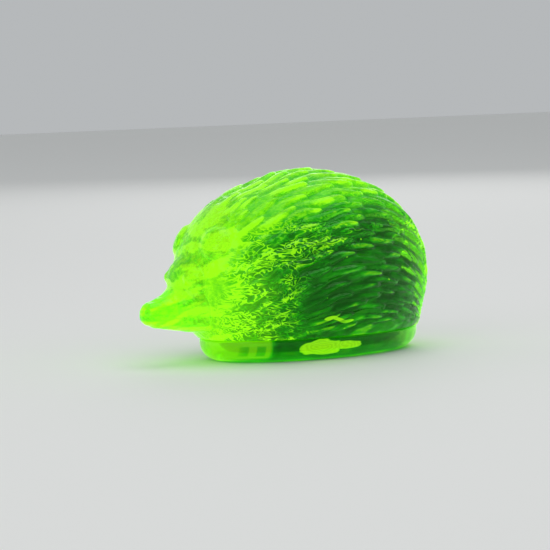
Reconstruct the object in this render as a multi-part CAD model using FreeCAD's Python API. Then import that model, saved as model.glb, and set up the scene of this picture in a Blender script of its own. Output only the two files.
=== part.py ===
"""Covered glass dish in the shape of a hedgehog: a shallow oval dish, and a hollow domed lid
that is the animal. Millimetres. The dish stands on z = 0 with its foot centred on the origin,
the length of the animal lies along X, and its nose points along -X."""

import FreeCAD, Part
import math
import os

from FreeCAD import Placement, Rotation, Vector

# Dish: a low oval cup with a broad flat shoulder for the lid.
DISH_HALF_LENGTH = 42.2
DISH_HALF_WIDTH = 25.8
SHOULDER_Z = 8.0
FOOT_FILLET = 6.5
SHOULDER_FILLET = 0.9
FLOOR_THICKNESS = 3.5
FLOOR_FILLET = 3.0

# Rim on the shoulder, which keeps the lid from sliding sideways.
RIM_INSET = 4.2
RIM_THICKNESS = 2.4
RIM_HEIGHT = 3.0
RIM_FILLET = 0.8

# Lid body: widest at the waist, and drawn in below it to meet the dish.
BODY_CENTRE_X = -2.5
BODY_HALF_LENGTH = 49.0
BODY_HALF_WIDTH = 32.3
WAIST_Z = 28.0
CROWN_Z = 64.7
SEAT_OVERHANG = 0.7

# Cavity under the lid: a straight mouth around the rim, then a dome that only narrows
# upwards, so that the pressing plunger can leave it.
MOUTH_CLEARANCE = 0.7
MOUTH_DEPTH = 4.0
CAVITY_TOP_Z = 54.0

# Head: brow, snout, nose, ears and eyes, all of one piece with the lid.
BROW_CENTRE = Vector(-44.6, 0, 28.8)
BROW_SEMI_AXES = (10.8, 12.5, 10.0)
NOSE_TIP = Vector(-67.2, 0, 18.3)
NOSE_RADIUS = 4.2
EAR_CENTRE = Vector(-44.2, 11.5, 41.4)
EAR_RADIUS = 5.5
EAR_THICKNESS = 4.6
EYE_CENTRE = Vector(-52.0, 6.8, 30.0)
EYE_RADIUS = 2.3

# Snout rings from the cheeks to the nose: x, height of the middle, half width, half height.
SNOUT_RINGS = (
    (-40.0, 22.6, 15.5, 12.6),
    (-50.0, 21.2, 10.8, 9.9),
    (-57.5, 19.1, 7.0, 6.4),
    (-62.8, 18.3, 4.5, 4.4),
)


def level_oval(half_length, half_width, z, x=0.0):
    """A level elliptical wire with its long axis along X."""
    return Part.Wire(Part.Ellipse(Vector(x, 0, z), half_length, half_width).toShape())


def oval_block(half_length, half_width, z_low, z_high):
    face = Part.Face(level_oval(half_length, half_width, z_low))
    return face.extrude(Vector(0, 0, z_high - z_low))


def level_edges(shape, z):
    """The edges of a shape that lie wholly at one height."""
    return [
        edge for edge in shape.Edges
        if abs(edge.BoundBox.ZMin - z) < 1e-4 and abs(edge.BoundBox.ZMax - z) < 1e-4
    ]


def ellipsoid(centre, semi_axes):
    scale = FreeCAD.Matrix()
    scale.scale(*semi_axes)
    ball = Part.makeSphere(1.0).transformGeometry(scale)
    ball.translate(centre)
    return ball


def mirrored(point):
    """The matching point on the other side of the animal."""
    return Vector(point.x, -point.y, point.z)


def make_dish():
    cup = oval_block(DISH_HALF_LENGTH, DISH_HALF_WIDTH, 0, SHOULDER_Z)
    cup = cup.makeFillet(FOOT_FILLET, level_edges(cup, 0))
    cup = cup.makeFillet(SHOULDER_FILLET, level_edges(cup, SHOULDER_Z))
    rim_top = SHOULDER_Z + RIM_HEIGHT
    rim_length = DISH_HALF_LENGTH - RIM_INSET
    rim_width = DISH_HALF_WIDTH - RIM_INSET
    rim = oval_block(rim_length, rim_width, FLOOR_THICKNESS, rim_top)
    well = oval_block(
        rim_length - RIM_THICKNESS, rim_width - RIM_THICKNESS, FLOOR_THICKNESS, rim_top + 1
    )
    well = well.makeFillet(FLOOR_FILLET, level_edges(well, FLOOR_THICKNESS))
    dish = cup.fuse(rim).cut(well).removeSplitter()
    return dish.makeFillet(RIM_FILLET, level_edges(dish, rim_top))


def body_ring(z):
    """Half length, half width and centre of the lid's body at one height."""
    if z >= WAIST_Z:
        rise = (z - WAIST_Z) / (CROWN_Z - WAIST_Z)
        share = math.sqrt(max(0.0, 1 - rise ** 2))
        return BODY_HALF_LENGTH * share, BODY_HALF_WIDTH * share, BODY_CENTRE_X
    drop = ((WAIST_Z - z) / (WAIST_Z - SHOULDER_Z)) ** 2
    seat_length = DISH_HALF_LENGTH + SEAT_OVERHANG
    seat_width = DISH_HALF_WIDTH + SEAT_OVERHANG
    half_length = BODY_HALF_LENGTH + (seat_length - BODY_HALF_LENGTH) * drop
    half_width = BODY_HALF_WIDTH + (seat_width - BODY_HALF_WIDTH) * drop
    return half_length, half_width, BODY_CENTRE_X * (1 - drop)


def make_body():
    """A solid through level rings, closed at the crown."""
    rings_below = 4
    rings_above = 8
    heights = [SHOULDER_Z + (WAIST_Z - SHOULDER_Z) * i / rings_below for i in range(rings_below)]
    for i in range(rings_above):
        heights.append(WAIST_Z + (CROWN_Z - WAIST_Z) * math.sin(math.pi / 2 * i / rings_above))
    rings = []
    for z in heights:
        half_length, half_width, x = body_ring(z)
        rings.append(level_oval(half_length, half_width, z, x))
    crown = Part.Vertex(Vector(BODY_CENTRE_X, 0, CROWN_Z))
    return Part.makeLoft([*rings, crown], True, False)


def make_cavity():
    mouth_length = DISH_HALF_LENGTH - RIM_INSET + MOUTH_CLEARANCE
    mouth_width = DISH_HALF_WIDTH - RIM_INSET + MOUTH_CLEARANCE
    mouth_top = SHOULDER_Z + MOUTH_DEPTH
    mouth = oval_block(mouth_length, mouth_width, SHOULDER_Z - 1, mouth_top)
    dome = ellipsoid(Vector(0, 0, mouth_top), (mouth_length, mouth_width, CAVITY_TOP_Z - mouth_top))
    above = Part.makeBox(
        2 * BODY_HALF_LENGTH, 2 * BODY_HALF_WIDTH, CROWN_Z,
        Vector(-BODY_HALF_LENGTH, -BODY_HALF_WIDTH, mouth_top)
    )
    return mouth.fuse(dome.common(above))


def make_snout():
    rings = []
    for x, z, half_width, half_height in SNOUT_RINGS:
        middle = Vector(x, 0, z)
        sideways = middle + Vector(0, half_width, 0)
        upwards = middle + Vector(0, 0, half_height)
        rings.append(Part.Wire(Part.Ellipse(sideways, upwards, middle).toShape()))
    nose = Part.makeSphere(NOSE_RADIUS, NOSE_TIP + Vector(NOSE_RADIUS, 0, 0))
    return Part.makeLoft(rings, True, False).fuse(nose)


def make_ear(centre):
    """A flattened ball, lying on the body and facing straight out of it."""
    out_x = (centre.x - BODY_CENTRE_X) / BODY_HALF_LENGTH ** 2
    out_y = centre.y / BODY_HALF_WIDTH ** 2
    out_z = (centre.z - WAIST_Z) / (CROWN_Z - WAIST_Z) ** 2
    ear = ellipsoid(Vector(0, 0, 0), (EAR_RADIUS, EAR_RADIUS, EAR_THICKNESS / 2))
    facing = Rotation(Vector(0, 0, 1), Vector(out_x, out_y, out_z))
    ear.Placement = Placement(centre, facing)
    return ear


def make_lid():
    pieces = [ellipsoid(BROW_CENTRE, BROW_SEMI_AXES), make_snout()]
    for ear_centre in (EAR_CENTRE, mirrored(EAR_CENTRE)):
        pieces.append(make_ear(ear_centre))
    for eye_centre in (EYE_CENTRE, mirrored(EYE_CENTRE)):
        pieces.append(Part.makeSphere(EYE_RADIUS, eye_centre))
    return make_body().fuse(pieces).cut(make_cavity()).removeSplitter()


def main():
    os.makedirs("parts", exist_ok=True)
    for node, shape in (("dish", make_dish()), ("hedgehog_lid", make_lid())):
        print(node, "valid", shape.isValid(), "solids", len(shape.Solids), "mm3", round(shape.Volume))
        shape.exportStep(f"parts/{node}.step")


main()
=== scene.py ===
import math

import bmesh
import bpy
from mathutils import Matrix, Vector, noise


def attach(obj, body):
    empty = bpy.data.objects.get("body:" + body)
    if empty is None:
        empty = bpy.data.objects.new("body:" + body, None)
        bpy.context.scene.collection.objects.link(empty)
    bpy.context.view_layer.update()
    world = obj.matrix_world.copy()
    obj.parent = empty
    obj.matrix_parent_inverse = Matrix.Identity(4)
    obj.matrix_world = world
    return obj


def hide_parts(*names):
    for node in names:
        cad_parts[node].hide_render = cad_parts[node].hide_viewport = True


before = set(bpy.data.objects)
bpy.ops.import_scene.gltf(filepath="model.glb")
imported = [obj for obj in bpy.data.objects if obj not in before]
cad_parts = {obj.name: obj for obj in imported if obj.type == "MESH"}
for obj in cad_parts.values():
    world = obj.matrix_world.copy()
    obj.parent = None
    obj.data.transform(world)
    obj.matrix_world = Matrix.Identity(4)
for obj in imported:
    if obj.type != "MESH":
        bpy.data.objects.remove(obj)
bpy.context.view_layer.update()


# Stage: a plain pale tabletop, a soft overhead light with weaker ones at the left and the back,
# and a camera a little above the table, in front of the animal's left cheek.
MM = 0.001
TABLE_HALF_WIDTH = 3.0

table_bm = bmesh.new()
bmesh.ops.create_grid(table_bm, x_segments=1, y_segments=1, size=TABLE_HALF_WIDTH)
table_mesh = bpy.data.meshes.new("tabletop")
table_bm.to_mesh(table_mesh)
table_bm.free()
tabletop = bpy.data.objects.new("tabletop", table_mesh)
bpy.context.collection.objects.link(tabletop)

table_finish = bpy.data.materials.new("tabletop_finish")
table_finish.use_nodes = True
table_shader = table_finish.node_tree.nodes["Principled BSDF"]
table_shader.inputs["Base Color"].default_value = (0.86, 0.86, 0.84, 1)
table_shader.inputs["Roughness"].default_value = 0.8
table_mesh.materials.append(table_finish)

studio_air = bpy.data.worlds.new("studio_air")
studio_air.use_nodes = True
studio_air.node_tree.nodes["Background"].inputs["Color"].default_value = (0.85, 0.88, 0.90, 1)
studio_air.node_tree.nodes["Background"].inputs["Strength"].default_value = 0.55
bpy.context.scene.world = studio_air


def softbox(name, place, aim, width, power):
    """A round soft lamp at a place, turned to its aim."""
    lamp = bpy.data.lights.new(name, "AREA")
    lamp.shape = "DISK"
    lamp.size = width
    lamp.energy = power
    lamp_object = bpy.data.objects.new(name, lamp)
    lamp_object.location = place
    toward = Vector(aim) - Vector(place)
    lamp_object.rotation_euler = toward.to_track_quat("-Z", "Y").to_euler()
    bpy.context.collection.objects.link(lamp_object)


body_middle = (0.0, 0.0, 0.03)
softbox("overhead_softbox", (0.10, -0.15, 1.10), body_middle, 1.2, 3.8)
softbox("left_softbox", (-0.95, -0.45, 0.60), body_middle, 0.8, 1.5)
softbox("back_softbox", (0.65, 0.90, 0.60), body_middle, 0.8, 1.5)

bpy.context.scene.view_settings.view_transform = "Standard"

CAMERA_AZIMUTH = math.radians(-32)
CAMERA_ELEVATION = math.radians(6.8)
CAMERA_ROLL = math.radians(-1.6)
CAMERA_DISTANCE = 847 * MM
CAMERA_LENS = 157.1
AIM_RIGHT = -11.65 * MM
AIM_UP = 27.55 * MM
away = Vector((
    math.sin(CAMERA_AZIMUTH) * math.cos(CAMERA_ELEVATION),
    -math.cos(CAMERA_AZIMUTH) * math.cos(CAMERA_ELEVATION),
    math.sin(CAMERA_ELEVATION),
))
rightward = Vector((math.cos(CAMERA_AZIMUTH), math.sin(CAMERA_AZIMUTH), 0))
camera_place = away * CAMERA_DISTANCE
aim = rightward * AIM_RIGHT + away.cross(rightward) * AIM_UP
camera_turn = (aim - camera_place).to_track_quat("-Z", "Y").to_matrix()
camera_turn = camera_turn @ Matrix.Rotation(CAMERA_ROLL, 3, "Z")
camera_lens = bpy.data.cameras.new("camera")
camera_lens.sensor_width = 36
camera_lens.lens = CAMERA_LENS
camera_lens.clip_start = 0.01
camera = bpy.data.objects.new("camera", camera_lens)
camera.matrix_world = Matrix.Translation(camera_place) @ camera_turn.to_4x4()
bpy.context.collection.objects.link(camera)
bpy.context.scene.camera = camera


# Dish: a low oval cup of pressed uranium glass, with a rounded foot, a smooth outer wall and a
# flat shoulder. The rim on the shoulder stands inside the lid and keeps it in place, and the
# shallow well inside the rim holds sweets or trinkets.
DISH_HALF_LENGTH = 42.2 * MM
DISH_HALF_WIDTH = 25.8 * MM
DISH_CORNERS = 240
FOOT_ROUND = 6.5 * MM
SHOULDER_ROUND = 0.9 * MM
SHOULDER_Z = 8.0 * MM
RIM_INSET = 4.2 * MM
RIM_THICKNESS = 2.4 * MM
RIM_TOP_Z = 11.0 * MM
RIM_ROUND = 0.8 * MM
WELL_FLOOR_Z = 3.5 * MM
WELL_ROUND = 3.0 * MM
DISH_WAVE = 0.10 * MM
LIGHT_POOL_PLACE = (-10.4 * MM, 4.7 * MM)
LIGHT_POOL_SIZE = (7.6 * MM, 2.8 * MM)
POOL_TAIL_PLACE = (-1.6 * MM, 4.9 * MM)
POOL_TAIL_SIZE = (7.2 * MM, 1.4 * MM)
POOL_RING_GAP = 0.12
FRONT_SHADE_WINDOW_GAP = 0.028


def level_oval(half_length, half_width, x, z):
    """Where each angle of a level ellipse is."""
    return lambda angle: Vector((x + half_length * math.cos(angle), half_width * math.sin(angle), z))


def first_face(bm, corners, place):
    """A face with that many corners, at place(angle)."""
    circle = bmesh.ops.create_circle(bm, cap_ends=True, segments=corners, radius=1)
    face = circle["verts"][0].link_faces[0]
    for number, corner in enumerate(face.verts):
        corner.co = place(2 * math.pi * number / corners)
    return face


def grow_face(bm, face, place):
    """Extrude a face, and put the corners of the new one at place(angle)."""
    grown = bmesh.ops.extrude_discrete_faces(bm, faces=[face])["faces"][0]
    corners = len(grown.verts)
    for number, corner in enumerate(grown.verts):
        corner.co = place(2 * math.pi * number / corners)
    return grown


def round_profile(inset, z, radius, start, stop, steps):
    """Points of an arc of the wall's profile, as distances in from the outer wall and heights."""
    points = []
    for step in range(steps + 1):
        turn = math.radians(start + (stop - start) * step / steps)
        points.append((inset + radius * math.cos(turn), z + radius * math.sin(turn)))
    return points


rim_inner = RIM_INSET + RIM_THICKNESS
dish_profile = round_profile(FOOT_ROUND, FOOT_ROUND, FOOT_ROUND, 270, 180, 14)
dish_profile += round_profile(SHOULDER_ROUND, SHOULDER_Z - SHOULDER_ROUND, SHOULDER_ROUND, 180, 90, 5)
dish_profile.append((RIM_INSET, SHOULDER_Z))
dish_profile += round_profile(RIM_INSET + RIM_ROUND, RIM_TOP_Z - RIM_ROUND, RIM_ROUND, 180, 90, 4)
dish_profile += round_profile(rim_inner - RIM_ROUND, RIM_TOP_Z - RIM_ROUND, RIM_ROUND, 90, 0, 4)
dish_profile += round_profile(rim_inner + WELL_ROUND, WELL_FLOOR_Z + WELL_ROUND, WELL_ROUND, 180, 270, 8)

dish_bm = bmesh.new()
dish_rings = [
    level_oval(DISH_HALF_LENGTH - inset, DISH_HALF_WIDTH - inset, 0, z) for inset, z in dish_profile
]
dish_face = first_face(dish_bm, DISH_CORNERS, dish_rings[0])
for ring in dish_rings[1:]:
    dish_face = grow_face(dish_bm, dish_face, ring)
bmesh.ops.holes_fill(dish_bm, edges=dish_bm.edges)
bmesh.ops.recalc_face_normals(dish_bm, faces=dish_bm.faces)
dish_bm.normal_update()
for vert in dish_bm.verts:
    wall = 0.2 * MM < vert.co.z < SHOULDER_Z - 0.1 * MM
    if wall:
        vert.co -= vert.normal * DISH_WAVE * (0.5 + 0.5 * noise.noise(vert.co * 160))
for face in dish_bm.faces:
    face.smooth = len(face.verts) == 4
dish_mesh = bpy.data.meshes.new("dish_glass")
dish_bm.to_mesh(dish_mesh)
dish_bm.free()
dish_glass = bpy.data.objects.new("dish_glass", dish_mesh)
bpy.context.collection.objects.link(dish_glass)

# Painted glow, in the colours of uranium glass under ultraviolet light: deep green where Glow is 0, lime
# where it is 1.
painted_uv_glow = bpy.data.node_groups.new("painted_uv_glow", "ShaderNodeTree")
painted_uv_glow.interface.new_socket("Glow", in_out="INPUT", socket_type="NodeSocketFloat")
painted_uv_glow.interface.new_socket("Color", in_out="OUTPUT", socket_type="NodeSocketColor")
glow_in = painted_uv_glow.nodes.new("NodeGroupInput")
glow_out = painted_uv_glow.nodes.new("NodeGroupOutput")
glow_ramp = painted_uv_glow.nodes.new("ShaderNodeValToRGB")
glow_ramp.color_ramp.elements[0].color = (0.0, 0.004, 0.0, 1)
glow_ramp.color_ramp.elements[1].color = (0.27, 0.70, 0.002, 1)
for stop_place, colour in (
    (0.3, (0.0, 0.07, 0.0, 1)),
    (0.55, (0.012, 0.24, 0.0, 1)),
    (0.8, (0.14, 0.46, 0.001, 1)),
):
    stop = glow_ramp.color_ramp.elements.new(stop_place)
    stop.color = colour
painted_uv_glow.links.new(glow_in.outputs["Glow"], glow_ramp.inputs["Fac"])
painted_uv_glow.links.new(glow_ramp.outputs["Color"], glow_out.inputs["Color"])

# A painted pool of light in the glass: 1 inside length 1 of Place, whose edge wanders by Wander.
light_pool = bpy.data.node_groups.new("light_pool", "ShaderNodeTree")
light_pool.interface.new_socket("Place", in_out="INPUT", socket_type="NodeSocketVector")
light_pool.interface.new_socket("Wander", in_out="INPUT", socket_type="NodeSocketFloat")
light_pool.interface.new_socket("Mask", in_out="OUTPUT", socket_type="NodeSocketFloat")
light_pool.interface.new_socket("Depth", in_out="OUTPUT", socket_type="NodeSocketFloat")
pool_in = light_pool.nodes.new("NodeGroupInput")
pool_out = light_pool.nodes.new("NodeGroupOutput")
pool_noise = light_pool.nodes.new("ShaderNodeTexNoise")
pool_noise.inputs["Scale"].default_value = 1.6
pool_noise.inputs["Detail"].default_value = 1
light_pool.links.new(pool_in.outputs["Place"], pool_noise.inputs["Vector"])
pool_length = light_pool.nodes.new("ShaderNodeVectorMath")
pool_length.operation = "LENGTH"
light_pool.links.new(pool_in.outputs["Place"], pool_length.inputs[0])
pool_centred = light_pool.nodes.new("ShaderNodeMath")
pool_centred.operation = "SUBTRACT"
pool_centred.inputs[1].default_value = 0.5
light_pool.links.new(pool_noise.outputs["Fac"], pool_centred.inputs[0])
pool_edge = light_pool.nodes.new("ShaderNodeMath")
pool_edge.operation = "MULTIPLY_ADD"
light_pool.links.new(pool_centred.outputs["Value"], pool_edge.inputs[0])
light_pool.links.new(pool_in.outputs["Wander"], pool_edge.inputs[1])
light_pool.links.new(pool_length.outputs["Value"], pool_edge.inputs[2])
pool_mask = light_pool.nodes.new("ShaderNodeMapRange")
pool_mask.interpolation_type = "SMOOTHSTEP"
pool_mask.inputs["From Min"].default_value = 0.94
pool_mask.inputs["From Max"].default_value = 1.06
pool_mask.inputs["To Min"].default_value = 1.0
pool_mask.inputs["To Max"].default_value = 0.0
light_pool.links.new(pool_edge.outputs["Value"], pool_mask.inputs["Value"])
light_pool.links.new(pool_mask.outputs["Result"], pool_out.inputs["Mask"])
light_pool.links.new(pool_edge.outputs["Value"], pool_out.inputs["Depth"])


def uranium_glass(name, tint, roughness):
    """Clear yellow-green glass with a painted glow, whose emission colour is linked by the section that
    uses it.
    """
    material = bpy.data.materials.new(name)
    material.use_nodes = True
    shader = material.node_tree.nodes["Principled BSDF"]
    shader.inputs["Base Color"].default_value = (*tint, 1)
    shader.inputs["Transmission Weight"].default_value = 1.0
    shader.inputs["IOR"].default_value = 1.5
    shader.inputs["Specular Tint"].default_value = (0.35, 0.9, 0.35, 1)
    shader.inputs["Roughness"].default_value = roughness
    shader.inputs["Emission Strength"].default_value = 1.0
    return material, shader


def math_node(material, operation, first, second=0.0, third=0.0, clamp=False):
    """A Math node of the material; what goes into it are sockets or numbers."""
    node = material.node_tree.nodes.new("ShaderNodeMath")
    node.operation = operation
    node.use_clamp = clamp
    for socket, value in zip(node.inputs, (first, second, third)):
        if isinstance(value, bpy.types.NodeSocket):
            material.node_tree.links.new(value, socket)
        else:
            socket.default_value = value
    return node.outputs["Value"]


def placed(material, centre, scale, tilt=0.0):
    """Object coordinates measured from a centre, in units of scale, tilted nose up by tilt degrees."""
    nodes = material.node_tree.nodes
    coordinates = nodes.new("ShaderNodeTexCoord")
    mapping = nodes.new("ShaderNodeMapping")
    mapping.vector_type = "TEXTURE"
    mapping.inputs["Location"].default_value = centre
    mapping.inputs["Rotation"].default_value = (0, math.radians(tilt), 0)
    mapping.inputs["Scale"].default_value = scale
    material.node_tree.links.new(coordinates.outputs["Object"], mapping.inputs["Vector"])
    return mapping.outputs["Vector"]


def share_between(material, value, low, high, at_low, at_high):
    """A smooth change from at_low to at_high, as the value goes from low to high."""
    node = material.node_tree.nodes.new("ShaderNodeMapRange")
    node.interpolation_type = "SMOOTHSTEP"
    material.node_tree.links.new(value, node.inputs["Value"])
    node.inputs["From Min"].default_value = low
    node.inputs["From Max"].default_value = high
    node.inputs["To Min"].default_value = at_low
    node.inputs["To Max"].default_value = at_high
    return node.outputs["Result"]


def pool_of_light(material, centre, size, wander):
    """Mask and depth of a painted pool of light; its depth across the dish is left endless."""
    pool = material.node_tree.nodes.new("ShaderNodeGroup")
    pool.node_tree = light_pool
    pool.inputs["Wander"].default_value = wander
    links = material.node_tree.links
    links.new(placed(material, (centre[0], 0, centre[1]), (size[0], 1, size[1])), pool.inputs["Place"])
    return pool.outputs["Mask"], pool.outputs["Depth"]


def glow_by(material, shader, glow):
    """Let the glow value set the colour of the material's emission, the painted glow."""
    group = material.node_tree.nodes.new("ShaderNodeGroup")
    group.node_tree = painted_uv_glow
    material.node_tree.links.new(glow, group.inputs["Glow"])
    material.node_tree.links.new(group.outputs["Color"], shader.inputs["Emission Color"])


# Painted glow: along the wall the painted glow is bright at both ends and dark between them.
dish_glass_painted_glow, dish_shader = uranium_glass("dish_glass_painted_glow", (0.08, 0.26, 0.006), 0.02)
along_dish = dish_glass_painted_glow.node_tree.nodes.new("ShaderNodeSeparateXYZ")
dish_glass_painted_glow.node_tree.links.new(
    placed(dish_glass_painted_glow, (-DISH_HALF_LENGTH, 0, 0), (2 * DISH_HALF_LENGTH, 1, MM)), along_dish.inputs[0]
)
wall_glow = dish_glass_painted_glow.node_tree.nodes.new("ShaderNodeValToRGB")
wall_glow.color_ramp.elements[0].color = (0.80, 0.80, 0.80, 1)
wall_glow.color_ramp.elements[1].color = (0.95, 0.95, 0.95, 1)
for stop_place, level in ((0.17, 0.74), (0.20, 0.08), (0.50, 0.08), (0.78, 0.05), (0.86, 0.55)):
    stop = wall_glow.color_ramp.elements.new(stop_place)
    stop.color = (level, level, level, 1)
dish_glass_painted_glow.node_tree.links.new(along_dish.outputs["X"], wall_glow.inputs["Fac"])

# Painted shade: two darker windows in the bright painted glow of the front end of the wall.
above_sill = share_between(dish_glass_painted_glow, along_dish.outputs["Z"], 2.2, 3.0, 0.0, 1.0)
below_head = share_between(dish_glass_painted_glow, along_dish.outputs["Z"], 5.6, 6.4, 1.0, 0.0)
shade_window_columns = math_node(dish_glass_painted_glow, "PINGPONG", along_dish.outputs["X"], FRONT_SHADE_WINDOW_GAP)
shade_window_columns = share_between(dish_glass_painted_glow, shade_window_columns, 0.010, 0.016, 0.0, 1.0)
front_shade_windows = share_between(dish_glass_painted_glow, along_dish.outputs["X"], 0.05, 0.09, 0.0, -0.16)
for share in (above_sill, below_head, shade_window_columns):
    front_shade_windows = math_node(dish_glass_painted_glow, "MULTIPLY", front_shade_windows, share)
wall_level = math_node(dish_glass_painted_glow, "ADD", wall_glow.outputs["Color"], front_shade_windows)

# A painted pool of light with rings like wood grain, and a short painted tail behind it.
in_pool, pool_depth = pool_of_light(dish_glass_painted_glow, LIGHT_POOL_PLACE, LIGHT_POOL_SIZE, 0.8)
in_tail = pool_of_light(dish_glass_painted_glow, POOL_TAIL_PLACE, POOL_TAIL_SIZE, 0.4)[0]
lit_place = math_node(dish_glass_painted_glow, "MAXIMUM", in_pool, in_tail)
pool_rings = math_node(dish_glass_painted_glow, "PINGPONG", pool_depth, POOL_RING_GAP)
pool_level = math_node(dish_glass_painted_glow, "MULTIPLY_ADD", pool_rings, 0.9, 0.89)
pooled = dish_glass_painted_glow.node_tree.nodes.new("ShaderNodeMix")
dish_glass_painted_glow.node_tree.links.new(lit_place, pooled.inputs["Factor"])
dish_glass_painted_glow.node_tree.links.new(wall_level, pooled.inputs["A"])
dish_glass_painted_glow.node_tree.links.new(pool_level, pooled.inputs["B"])

# Away from the outer wall, in the rim, the well and the foot, the painted glow is low and cloudy.
across_dish = dish_glass_painted_glow.node_tree.nodes.new("ShaderNodeVectorMath")
across_dish.operation = "LENGTH"
dish_glass_painted_glow.node_tree.links.new(
    placed(dish_glass_painted_glow, (0, 0, 0), (DISH_HALF_LENGTH, DISH_HALF_WIDTH, 1)), across_dish.inputs[0]
)
outer_wall = share_between(dish_glass_painted_glow, across_dish.outputs["Value"], 0.88, 0.95, 0.0, 1.0)
cloud = dish_glass_painted_glow.node_tree.nodes.new("ShaderNodeTexNoise")
cloud.inputs["Scale"].default_value = 1.0
cloud.inputs["Detail"].default_value = 2
cloud_place = placed(dish_glass_painted_glow, (0, 0, 0), (14 * MM, 9 * MM, 5 * MM))
dish_glass_painted_glow.node_tree.links.new(cloud_place, cloud.inputs["Vector"])
inner_glow = share_between(dish_glass_painted_glow, cloud.outputs["Fac"], 0.35, 0.65, 0.03, 0.20)
wall_or_inside = dish_glass_painted_glow.node_tree.nodes.new("ShaderNodeMix")
dish_glass_painted_glow.node_tree.links.new(outer_wall, wall_or_inside.inputs["Factor"])
dish_glass_painted_glow.node_tree.links.new(inner_glow, wall_or_inside.inputs["A"])
dish_glass_painted_glow.node_tree.links.new(pooled.outputs["Result"], wall_or_inside.inputs["B"])

# A thin bright line of painted light along the edge of the foot.
painted_foot_light = share_between(dish_glass_painted_glow, along_dish.outputs["Z"], 0.5, 1.6, 0.42, 0.0)
dish_glow = math_node(dish_glass_painted_glow, "ADD", wall_or_inside.outputs["Result"], painted_foot_light, clamp=True)
glow_by(dish_glass_painted_glow, dish_shader, dish_glow)
dish_mesh.materials.append(dish_glass_painted_glow)

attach(dish_glass, "dish")
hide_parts("dish")


# Hedgehog lid: one heavy pressing of uranium glass, solid at the head and hollow under the
# back. The mould gives it long overlapping spines, a softly furred face and a smooth cavity
# that only narrows upwards. It stands on the dish's shoulder by its own weight.
WAIST_Z = 28.0 * MM
SEAT_Z = 8.1 * MM
SEAT_ROUND = 0.9 * MM
CROWN_Z = 64.7 * MM
BODY_X = -2.5 * MM
BODY_HALF_LENGTH = 49.0 * MM
BODY_HALF_WIDTH = 32.3 * MM
LID_CORNERS = 160
BELOW_SEAT = 3 * MM
LOWER_RINGS = 10
UPPER_RINGS = 24
SEAT_HALF_LENGTH = 42.9 * MM
SEAT_HALF_WIDTH = 26.5 * MM
SPINE_HEIGHT = 2.5 * MM
SPINE_SUNK = 0.8
SPINE_SUNK_RUMP = 1.05
SPINE_AXIS_Z = 14.0 * MM
SPINE_ROWS = 54
SPINES_PER_ROW = 7.5
SPINE_REACH = 1.5
SPINE_HALF_WIDTH = 0.85
ROW_SWAY = 0.55
HIP_X = 8.0 * MM
HIP_SPREAD = 20.0 * MM
SWEEP = 7.0 * MM
FACE_EDGE_X = -40.0 * MM
LID_SKIN_GRID = 0.54 * MM
BROW_MIDDLE = Vector((-44.6, 0.0, 28.8)) * MM
BROW_SIZE = Vector((10.0, 12.3, 9.7)) * MM
NOSE_MIDDLE = Vector((-63.0, 0.0, 18.3)) * MM
NOSE_RADIUS = 4.2 * MM
EAR_PLACE = (-44.0, 11.5, 41.8)
EAR_SIZE = Vector((5.2, 5.8, 2.2)) * MM
EYE_PLACE = (-51.5, 6.8, 29.8)
EYE_RADIUS = 2.3 * MM
SNOUT_CORNERS = 96
SNOUT_RINGS = (
    (-40.0, 22.6, 15.5, 12.6),
    (-50.0, 20.9, 10.8, 9.6),
    (-57.5, 18.7, 7.0, 6.1),
    (-62.8, 18.0, 4.5, 4.5),
)
FOREHEAD_PLACE = Vector((-22.0, 0.0, 60.0)) * MM
FOREHEAD_REACH = 15 * MM
FOREHEAD_SUNK = 1.8 * MM
NOSTRIL_PLACE = Vector((-65.9, 2.7, 19.4)) * MM
NOSTRIL_RADIUS = 1.5 * MM
NOSTRIL_DEPTH = 0.7 * MM
MOUTH_HALF_LENGTH = 38.7 * MM
MOUTH_HALF_WIDTH = 22.3 * MM
MOUTH_TOP_Z = 12.0 * MM
CAVITY_TOP_Z = 54.0 * MM
CAVITY_WAVE = 0.9 * MM
CAVITY_RINGS = 30
# Places of the lid's painted marks: the window of painted shade, the stroke of painted light and the
# spacing of the painted sparkles.
SHADE_WINDOW_MIDDLE = (10 * MM, 0, 21 * MM)
SHADE_WINDOW_REACH = (38 * MM, 200 * MM, 26 * MM)
STROKE_MIDDLE = (-6.0 * MM, 0, 14.2 * MM)
STROKE_HALF_LENGTH = 6.2 * MM
PAINTED_SPARKLE_SPACING = 6 * MM


def body_ring(z):
    """Half length, half width and middle of the body at one height."""
    if z >= WAIST_Z:
        rise = (z - WAIST_Z) / (CROWN_Z - WAIST_Z)
        share = math.sqrt(max(0.0, 1 - rise * rise))
        return BODY_HALF_LENGTH * share, BODY_HALF_WIDTH * share, BODY_X
    drop = ((WAIST_Z - z) / (WAIST_Z - SEAT_Z)) ** 2
    half_length = BODY_HALF_LENGTH + (SEAT_HALF_LENGTH - BODY_HALF_LENGTH) * drop
    half_width = BODY_HALF_WIDTH + (SEAT_HALF_WIDTH - BODY_HALF_WIDTH) * drop
    return half_length, half_width, BODY_X * (1 - drop)


def add_ellipsoid(bm, middle, semi_axes, turn=Matrix.Identity(3)):
    """A rounded lump for a feature of the head, with its half sizes as semi_axes."""
    matrix = Matrix.Translation(middle) @ turn.to_4x4() @ Matrix.Diagonal((*semi_axes, 1))
    bmesh.ops.create_icosphere(bm, subdivisions=5, radius=1, matrix=matrix)


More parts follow.
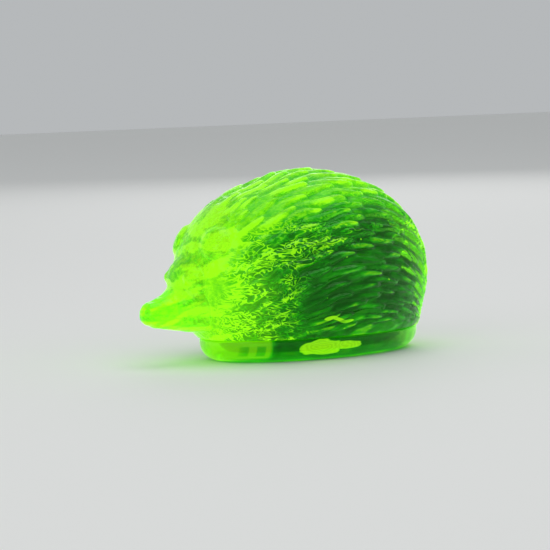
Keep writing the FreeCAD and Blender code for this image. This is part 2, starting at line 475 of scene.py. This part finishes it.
# The back: level ovals from below the seat to the crown.
lid_bm = bmesh.new()
heights = [
    SEAT_Z - BELOW_SEAT + (WAIST_Z - SEAT_Z + BELOW_SEAT) * step / LOWER_RINGS
    for step in range(LOWER_RINGS)
]
heights += [
    WAIST_Z + (CROWN_Z - WAIST_Z) * math.sin(math.pi / 2 * step / UPPER_RINGS)
    for step in range(UPPER_RINGS)
]
rings = []
for z in heights:
    half_length, half_width, x = body_ring(z)
    rings.append(level_oval(half_length, half_width, x, z))
lid_face = first_face(lid_bm, LID_CORNERS, rings[0])
for ring in rings[1:]:
    lid_face = grow_face(lid_bm, lid_face, ring)
crown_ring = bmesh.ops.extrude_discrete_faces(lid_bm, faces=[lid_face])["faces"][0]
bmesh.ops.pointmerge(lid_bm, verts=crown_ring.verts, merge_co=Vector((BODY_X, 0, CROWN_Z)))

add_ellipsoid(lid_bm, BROW_MIDDLE, BROW_SIZE)


def upright_oval(x, z, half_width, half_height):
    """Where each angle of an ellipse across the snout is; its sizes are in millimetres."""
    return lambda angle: Vector((
        x * MM, half_width * MM * math.cos(angle), (z + half_height * math.sin(angle)) * MM
    ))


snout_face = first_face(lid_bm, SNOUT_CORNERS, upright_oval(*SNOUT_RINGS[0]))
for ring in SNOUT_RINGS[1:]:
    snout_face = grow_face(lid_bm, snout_face, upright_oval(*ring))
add_ellipsoid(lid_bm, NOSE_MIDDLE, Vector((NOSE_RADIUS, NOSE_RADIUS, NOSE_RADIUS)))

for side in (-1, 1):
    ear_middle = Vector((EAR_PLACE[0], side * EAR_PLACE[1], EAR_PLACE[2])) * MM
    out = Vector((
        (ear_middle.x - BODY_X) / BODY_HALF_LENGTH ** 2,
        ear_middle.y / BODY_HALF_WIDTH ** 2,
        (ear_middle.z - WAIST_Z) / (CROWN_Z - WAIST_Z) ** 2,
    ))
    facing = out.to_track_quat("Z", "Y").to_matrix()
    add_ellipsoid(lid_bm, ear_middle, EAR_SIZE, facing)
    eye_middle = Vector((EYE_PLACE[0], side * EYE_PLACE[1], EYE_PLACE[2])) * MM
    add_ellipsoid(lid_bm, eye_middle, Vector((EYE_RADIUS, EYE_RADIUS, EYE_RADIUS)))

# Body, head and features are closed and run together into one skin.
bmesh.ops.holes_fill(lid_bm, edges=lid_bm.edges)
bmesh.ops.recalc_face_normals(lid_bm, faces=lid_bm.faces)
lid_mesh = bpy.data.meshes.new("hedgehog_lid_glass")
lid_bm.to_mesh(lid_mesh)
lid_bm.free()
lid_glass = bpy.data.objects.new("hedgehog_lid_glass", lid_mesh)
bpy.context.collection.objects.link(lid_glass)

one_skin = lid_glass.modifiers.new("one_skin", "REMESH")
one_skin.mode = "VOXEL"
one_skin.voxel_size = LID_SKIN_GRID
one_skin.use_smooth_shade = True
bpy.context.view_layer.update()
settled = lid_glass.evaluated_get(bpy.context.evaluated_depsgraph_get())
skinned = bpy.data.meshes.new_from_object(settled)
lid_glass.modifiers.remove(one_skin)
lid_glass.data = skinned


def ease(value, low, high):
    """A smooth change from 0 to 1, as the value goes from low to high."""
    share = min(1.0, max(0.0, (value - low) / (high - low)))
    return share * share * (3 - 2 * share)


def spine_relief(point):
    """Height of the spines at a point of the back, from 0 in a groove to 1 on a tip."""
    lift = SWEEP * math.log(math.cosh((point.x - HIP_X) / HIP_SPREAD))
    around = math.atan2(point.z + lift - SPINE_AXIS_Z, point.y)
    if around < -math.pi / 2:
        around += 2 * math.pi
    along = math.acos(min(1.0, max(-1.0, (BODY_X - point.x) / (BODY_HALF_LENGTH + MM))))
    sway = noise.noise(Vector((point.x, point.y, point.z)) * 90)
    row = around / math.pi * SPINE_ROWS + ROW_SWAY * sway
    place = along / math.pi * SPINES_PER_ROW
    best = 0.0
    for row_number in (math.floor(row), math.floor(row) + 1):
        start = place + 0.5 * (row_number % 2) + 0.35 * noise.noise(Vector((row_number * 3.7, 5.1, 0)))
        for spine_number in (math.floor(start) - 1, math.floor(start)):
            odd = noise.noise(Vector((row_number * 1.31 + 7.7, spine_number * 2.17 + 3.3, 11.0)))
            length = (start - spine_number) / (SPINE_REACH + 0.3 * odd)
            if not 0 < length < 1:
                continue
            half_width = SPINE_HALF_WIDTH * math.sin(math.pi * length ** 0.72) ** 0.7
            across = (row - row_number + 0.25 * odd * math.sin(5 * length)) / half_width
            if abs(across) >= 1:
                continue
            crest = (0.1 + 0.9 * ease(length, 0.0, 0.85)) * (1 - ease(length, 0.88, 1.0))
            best = max(best, crest * math.sqrt(1 - across * across) * (1 + 0.25 * odd))
    return best


def smooth_skin(bm, rounds, factor):
    """Relax every point of the skin towards its neighbours."""
    for _ in range(rounds):
        bmesh.ops.smooth_vert(
            bm, verts=bm.verts, factor=factor, use_axis_x=True, use_axis_y=True, use_axis_z=True
        )


lid_bm = bmesh.new()
lid_bm.from_mesh(skinned)
smooth_skin(lid_bm, 8, 0.5)
lid_bm.normal_update()

# A crease is where a much smoother skin would stand out from this one; creases get painted shade.
shaped = [vert.co.copy() for vert in lid_bm.verts]
facing = [vert.normal.copy() for vert in lid_bm.verts]
smooth_skin(lid_bm, 25, 0.5)
creases = [(vert.co - co).dot(out) for vert, co, out in zip(lid_bm.verts, shaped, facing)]
for vert, co in zip(lid_bm.verts, shaped):
    vert.co = co
lid_bm.normal_update()

# Spines, fur, ripples, nostrils and the dip of the forehead are pressed into the skin, and the
# relief attribute keeps what is high: 1 on a crest or the bare face, 0 in a groove, a crease or a
# nostril.
# The lid's glow reads it for painted shade in grooves, creases and nostrils and painted light on crests.
relief = lid_bm.verts.layers.float.new("relief")
moves = []
for vert, crease in zip(lid_bm.verts, creases):
    point = vert.co
    behind_face = point.x - FACE_EDGE_X + 0.12 * (WAIST_Z - point.z) + 1.5 * MM * noise.noise(point * 140)
    back = ease(behind_face, -3 * MM, 4 * MM)
    back *= ease(point.z, SEAT_Z + 0.5 * MM, SEAT_Z + 5 * MM)
    ripple = 0.10 * MM * noise.noise(point * 650) + 0.16 * MM * noise.noise(point * 260)
    fur = 0.12 * MM * noise.noise(Vector((point.x * 300, point.y * 900, point.z * 900)))
    height = spine_relief(point) if back > 0 else 1.0
    nostril = (Vector((point.x, abs(point.y), point.z)) - NOSTRIL_PLACE).length
    clear = ease(nostril, 0.2 * MM, NOSTRIL_RADIUS)
    vert[relief] = (1 + back * (height - 1)) * (1 - ease(crease, 0.05 * MM, 0.45 * MM)) * clear
    back *= 0.5 + 0.5 * ease(point.x, FACE_EDGE_X, FACE_EDGE_X + 28 * MM)
    dimple = NOSTRIL_DEPTH * (1 - clear)
    sunk = SPINE_SUNK + (SPINE_SUNK_RUMP - SPINE_SUNK) * ease(point.x, 20 * MM, 45 * MM)
    forehead = FOREHEAD_SUNK * (1 - ease((point - FOREHEAD_PLACE).length, 0, FOREHEAD_REACH))
    moves.append(back * SPINE_HEIGHT * (height - sunk) + (1 - back) * fur + ripple - dimple - forehead)
for vert, move in zip(lid_bm.verts, moves):
    vert.co += vert.normal * move
    drop = SEAT_Z + SEAT_ROUND - vert.co.z
    if 0 < drop < SEAT_ROUND:
        tuck = SEAT_ROUND - math.sqrt(SEAT_ROUND ** 2 - drop ** 2)
        vert.co.x -= vert.normal.x * tuck
        vert.co.y -= vert.normal.y * tuck
smooth_skin(lid_bm, 1, 0.35)

# The seat is cut flat, the cavity rises inside it, and a flat ring joins the two.
bmesh.ops.bisect_plane(
    lid_bm, geom=lid_bm.verts[:] + lid_bm.edges[:] + lid_bm.faces[:],
    plane_co=(0, 0, SEAT_Z), plane_no=(0, 0, 1), clear_inner=True
)
outer_edges = [edge for edge in lid_bm.edges if edge.is_boundary]
outer_faces = set(lid_bm.faces)
outer_verts = set(lid_bm.verts)
mouth_foot = level_oval(MOUTH_HALF_LENGTH, MOUTH_HALF_WIDTH, 0, SEAT_Z)
mouth_face = first_face(lid_bm, LID_CORNERS, mouth_foot)
mouth_edges = list(mouth_face.edges)
mouth_top = level_oval(MOUTH_HALF_LENGTH, MOUTH_HALF_WIDTH, 0, MOUTH_TOP_Z)
cavity_face = grow_face(lid_bm, mouth_face, mouth_top)
for step in range(1, CAVITY_RINGS):
    lift = math.sin(math.pi / 2 * step / CAVITY_RINGS)
    share = math.cos(math.pi / 2 * step / CAVITY_RINGS)
    z = MOUTH_TOP_Z + (CAVITY_TOP_Z - MOUTH_TOP_Z) * lift
    ring = level_oval(MOUTH_HALF_LENGTH * share, MOUTH_HALF_WIDTH * share, 0, z)
    cavity_face = grow_face(lid_bm, cavity_face, ring)
cavity_top = bmesh.ops.extrude_discrete_faces(lid_bm, faces=[cavity_face])["faces"][0]
bmesh.ops.pointmerge(lid_bm, verts=cavity_top.verts, merge_co=Vector((0, 0, CAVITY_TOP_Z)))
for vert in lid_bm.verts:
    if vert not in outer_verts and vert.co.z > MOUTH_TOP_Z:
        from_mouth = vert.co - Vector((0, 0, MOUTH_TOP_Z))
        fade = ease(from_mouth.z, 0.0, 6 * MM)
        vert.co += from_mouth.normalized() * CAVITY_WAVE * fade * noise.noise(vert.co * 130)
seat = bmesh.ops.triangle_fill(
    lid_bm, edges=outer_edges + mouth_edges, use_beauty=True, use_dissolve=False, normal=(0, 0, -1)
)
seat_faces = {face for face in seat["geom"] if isinstance(face, bmesh.types.BMFace)}
bmesh.ops.recalc_face_normals(lid_bm, faces=lid_bm.faces)
for face in lid_bm.faces:
    face.smooth = face not in seat_faces
    face.material_index = 0 if face in outer_faces or face in seat_faces else 1
for edge in mouth_edges + outer_edges:
    edge.smooth = False
lid_bm.to_mesh(skinned)
lid_bm.free()

lid_glass_painted_glow, lid_shader = uranium_glass("lid_glass_painted_glow", (0.10, 0.38, 0.008), 0.03)
nodes = lid_glass_painted_glow.node_tree.nodes
links = lid_glass_painted_glow.node_tree.links

# Painted shade: the hollow would show dark through both flanks, so a window low on each, a little behind
# its middle, gets little painted glow.
window = nodes.new("ShaderNodeVectorMath")
window.operation = "LENGTH"
links.new(placed(lid_glass_painted_glow, SHADE_WINDOW_MIDDLE, SHADE_WINDOW_REACH), window.inputs[0])
shade_window_depth = window.outputs["Value"]


# Around the window, curled lines of painted light, bright on dark, stand in for light that the spines
# bend.
def curled_lines(material, size, gap):
    """Thin lines that follow the level curves of a swirling noise; 1 on a line."""
    curl = material.node_tree.nodes.new("ShaderNodeTexNoise")
    curl.inputs["Scale"].default_value = 1.0
    curl.inputs["Detail"].default_value = 1.5
    curl.inputs["Distortion"].default_value = 1.0
    material.node_tree.links.new(placed(material, (0, 0, 0), size), curl.inputs["Vector"])
    fold = math_node(material, "PINGPONG", curl.outputs["Fac"], gap)
    return share_between(material, fold, 0.0, 0.55 * gap, 1.0, 0.0)


curl_lines = math_node(
    lid_glass_painted_glow, "MAXIMUM",
    curled_lines(lid_glass_painted_glow, (11 * MM, 9 * MM, 4.2 * MM), 0.06),
    curled_lines(lid_glass_painted_glow, (5.5 * MM, 5 * MM, 2.4 * MM), 0.09),
)
along_lid = nodes.new("ShaderNodeSeparateXYZ")
links.new(placed(lid_glass_painted_glow, (0, 0, 0), (MM, MM, MM)), along_lid.inputs[0])
curl_zone = share_between(lid_glass_painted_glow, shade_window_depth, 0.68, 0.98, 0.0, 1.0)
for share in (
    share_between(lid_glass_painted_glow, shade_window_depth, 1.25, 1.65, 1.0, 0.1),
    share_between(lid_glass_painted_glow, along_lid.outputs["Z"], 38.0, 52.0, 1.0, 0.15),
    share_between(lid_glass_painted_glow, along_lid.outputs["X"], -48.0, -37.0, 0.15, 1.0),
):
    curl_zone = math_node(lid_glass_painted_glow, "MULTIPLY", curl_zone, share)
curl_fade = nodes.new("ShaderNodeTexNoise")
curl_fade.inputs["Scale"].default_value = 1.0
curl_fade.inputs["Detail"].default_value = 2
links.new(placed(lid_glass_painted_glow, (0, 0, 0), (9 * MM, 9 * MM, 5 * MM)), curl_fade.inputs["Vector"])
curl_strength = share_between(lid_glass_painted_glow, curl_fade.outputs["Fac"], 0.34, 0.58, 0.45, 1.25)
curl_lines = math_node(lid_glass_painted_glow, "MULTIPLY", curl_lines, curl_strength)
curl_push = math_node(lid_glass_painted_glow, "SUBTRACT", curl_lines, 0.42)
curl_push = math_node(lid_glass_painted_glow, "MULTIPLY", curl_push, curl_zone)

# Painted light and shade: crests get painted glow, grooves and creases painted shade, less so towards the
# face.
crest = nodes.new("ShaderNodeAttribute")
crest.attribute_name = "relief"
crest_push = share_between(lid_glass_painted_glow, crest.outputs["Fac"], 0.1, 1.0, -0.26, 0.05)
crest_strength = share_between(lid_glass_painted_glow, along_lid.outputs["X"], -40.0, 0.0, 0.5, 1.0)
crest_push = math_node(lid_glass_painted_glow, "MULTIPLY", crest_push, crest_strength)

# Here and there a lock of spines gets a painted highlight along its crests.
lock = nodes.new("ShaderNodeTexNoise")
lock.inputs["Scale"].default_value = 1.0
lock.inputs["Detail"].default_value = 2
links.new(placed(lid_glass_painted_glow, (0, 0, 0), (16 * MM, 12 * MM, 4 * MM), -18), lock.inputs["Vector"])
lock_push = math_node(
    lid_glass_painted_glow, "MULTIPLY",
    share_between(lid_glass_painted_glow, lock.outputs["Fac"], 0.44, 0.64, 0.0, 0.50),
    share_between(lid_glass_painted_glow, crest.outputs["Fac"], 0.55, 0.95, 0.0, 1.0),
)

# Painted light and shade: the rump is painted bright, the tip of the nose painted a little dimmer than
# the cheeks, and a fine mottle of painted glow like fur runs over the whole lid.
rump_push = share_between(lid_glass_painted_glow, along_lid.outputs["X"], 32.0, 45.0, 0.0, 0.75)
nose_push = share_between(lid_glass_painted_glow, along_lid.outputs["X"], -64.0, -42.0, -0.20, 0.0)
fur_noise = nodes.new("ShaderNodeTexNoise")
fur_noise.inputs["Scale"].default_value = 1.0
fur_noise.inputs["Detail"].default_value = 4
fur_noise.inputs["Roughness"].default_value = 0.65
links.new(placed(lid_glass_painted_glow, (0, 0, 0), (3.5 * MM, 1.6 * MM, 1.6 * MM)), fur_noise.inputs["Vector"])
fur_push = share_between(lid_glass_painted_glow, fur_noise.outputs["Fac"], 0.3, 0.7, -0.14, 0.10)

# Painted highlight: a thin wavy stroke of light low on each flank, in the front part of the window.
stroke_place = nodes.new("ShaderNodeSeparateXYZ")
links.new(placed(lid_glass_painted_glow, STROKE_MIDDLE, (STROKE_HALF_LENGTH, 1, MM)), stroke_place.inputs[0])
stroke_wave = math_node(lid_glass_painted_glow, "MULTIPLY", stroke_place.outputs["X"], 4.2)
stroke_wave = math_node(lid_glass_painted_glow, "MULTIPLY", math_node(lid_glass_painted_glow, "SINE", stroke_wave), 0.5)
stroke_drop = math_node(lid_glass_painted_glow, "MULTIPLY_ADD", stroke_place.outputs["X"], 0.9, stroke_wave)
stroke_off = math_node(lid_glass_painted_glow, "ADD", stroke_place.outputs["Z"], stroke_drop)
stroke_off = math_node(lid_glass_painted_glow, "ABSOLUTE", stroke_off)
stroke_end = math_node(lid_glass_painted_glow, "ABSOLUTE", stroke_place.outputs["X"])
stroke_end = math_node(lid_glass_painted_glow, "POWER", stroke_end, 8.0)
stroke_off = math_node(lid_glass_painted_glow, "ADD", stroke_off, stroke_end)
stroke_push = share_between(lid_glass_painted_glow, stroke_off, 0.45, 0.8, 0.8, 0.0)

# Painted sparkles: tiny bright points of painted glint, spread through the glass.
painted_sparkles = nodes.new("ShaderNodeTexVoronoi")
painted_sparkles.inputs["Scale"].default_value = 1.0
painted_sparkle_place = placed(lid_glass_painted_glow, (0, 0, 0), (PAINTED_SPARKLE_SPACING, PAINTED_SPARKLE_SPACING, PAINTED_SPARKLE_SPACING))
links.new(painted_sparkle_place, painted_sparkles.inputs["Vector"])
painted_sparkle_push = share_between(lid_glass_painted_glow, painted_sparkles.outputs["Distance"], 0.04, 0.075, 0.7, 0.0)

# The painted glow rises from the window outwards, and all the painted light and shade above is added to
# it.
lid_glow = share_between(lid_glass_painted_glow, shade_window_depth, 0.90, 1.55, 0.18, 0.81)
for push in (
    curl_push, crest_push, lock_push, rump_push, nose_push, fur_push, stroke_push, painted_sparkle_push,
):
    lid_glow = math_node(lid_glass_painted_glow, "ADD", lid_glow, push)
lid_glow = math_node(lid_glass_painted_glow, "MINIMUM", lid_glow, 1.0)
glow_by(lid_glass_painted_glow, lid_shader, lid_glow)

# Fine ripples of fire-polished glass, a fraction of a millimetre high.
ripple_noise = nodes.new("ShaderNodeTexNoise")
ripple_noise.inputs["Scale"].default_value = 420
ripple_noise.inputs["Detail"].default_value = 3
ripple_place = nodes.new("ShaderNodeTexCoord")
links.new(ripple_place.outputs["Object"], ripple_noise.inputs["Vector"])
ripple_bump = nodes.new("ShaderNodeBump")
ripple_bump.inputs["Strength"].default_value = 0.5
ripple_bump.inputs["Distance"].default_value = 0.4 * MM
links.new(ripple_noise.outputs["Fac"], ripple_bump.inputs["Height"])
links.new(ripple_bump.outputs["Normal"], lid_shader.inputs["Normal"])

# Inside of the hollow: an opaque dark green, painted shade where the glass is clear, with faint streaks
# of painted glow, brighter under the crown, and brightest at the front end behind the face, where the
# bright part ends in a ragged edge.
hollow_painted_shade_and_glow = bpy.data.materials.new("hollow_painted_shade_and_glow")
hollow_painted_shade_and_glow.use_nodes = True
hollow_shader = hollow_painted_shade_and_glow.node_tree.nodes["Principled BSDF"]
hollow_shader.inputs["Base Color"].default_value = (0.0, 0.03, 0.002, 1)
hollow_shader.inputs["Roughness"].default_value = 0.3
hollow_shader.inputs["Emission Strength"].default_value = 1.0
painted_glow_streak = hollow_painted_shade_and_glow.node_tree.nodes.new("ShaderNodeTexNoise")
painted_glow_streak.inputs["Scale"].default_value = 1.0
painted_glow_streak.inputs["Detail"].default_value = 3
painted_glow_streak_place = placed(hollow_painted_shade_and_glow, (0, 0, 0), (22 * MM, 7 * MM, 4 * MM), -25)
hollow_painted_shade_and_glow.node_tree.links.new(painted_glow_streak_place, painted_glow_streak.inputs["Vector"])
hollow_glow = share_between(hollow_painted_shade_and_glow, painted_glow_streak.outputs["Fac"], 0.4, 0.72, 0.22, 0.6)
along_hollow = hollow_painted_shade_and_glow.node_tree.nodes.new("ShaderNodeSeparateXYZ")
hollow_painted_shade_and_glow.node_tree.links.new(
    placed(hollow_painted_shade_and_glow, (0, 0, 0), (MM, MM, MM)), along_hollow.inputs[0]
)
ragged = math_node(hollow_painted_shade_and_glow, "MULTIPLY", painted_glow_streak.outputs["Fac"], 40.0)
ragged = math_node(hollow_painted_shade_and_glow, "ADD", ragged, along_hollow.outputs["X"])
front_push = share_between(hollow_painted_shade_and_glow, ragged, -22.0, 12.0, 0.7, 0.0)
top_push = share_between(hollow_painted_shade_and_glow, along_hollow.outputs["Z"], 38.0, 54.0, 0.0, 0.35)
for push in (front_push, top_push):
    hollow_glow = math_node(hollow_painted_shade_and_glow, "ADD", hollow_glow, push)
glow_by(hollow_painted_shade_and_glow, hollow_shader, math_node(hollow_painted_shade_and_glow, "MINIMUM", hollow_glow, 0.95))
skinned.materials.append(lid_glass_painted_glow)
skinned.materials.append(hollow_painted_shade_and_glow)

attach(lid_glass, "lid")
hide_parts("hedgehog_lid")
